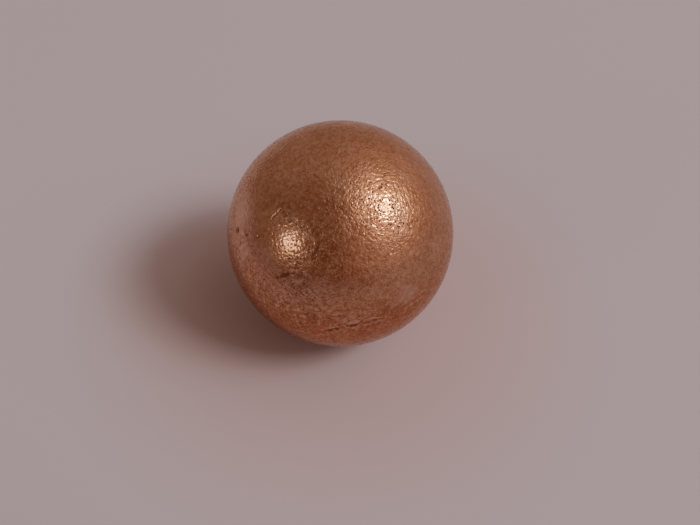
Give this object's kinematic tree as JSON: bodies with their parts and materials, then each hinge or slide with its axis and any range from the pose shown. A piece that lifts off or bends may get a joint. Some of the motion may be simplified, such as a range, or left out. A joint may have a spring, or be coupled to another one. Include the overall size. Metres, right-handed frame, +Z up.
{
  "type": "copper ball",
  "caption": "Solid copper ball with a dull, finely grained skin, a broken fold line and a few small nicks and pits.",
  "frame": {"origin": "centre of the ball", "axes": "+Z up as the ball lies, +X to the right and -Y toward the viewer of the marked side"},
  "size_m": [0.0254, 0.0254, 0.0254],
  "materials": {
    "copper": "dull, finely grained bare copper"
  },
  "bodies": {
    "root": {"ball": "copper"}
  },
  "joints": []
}
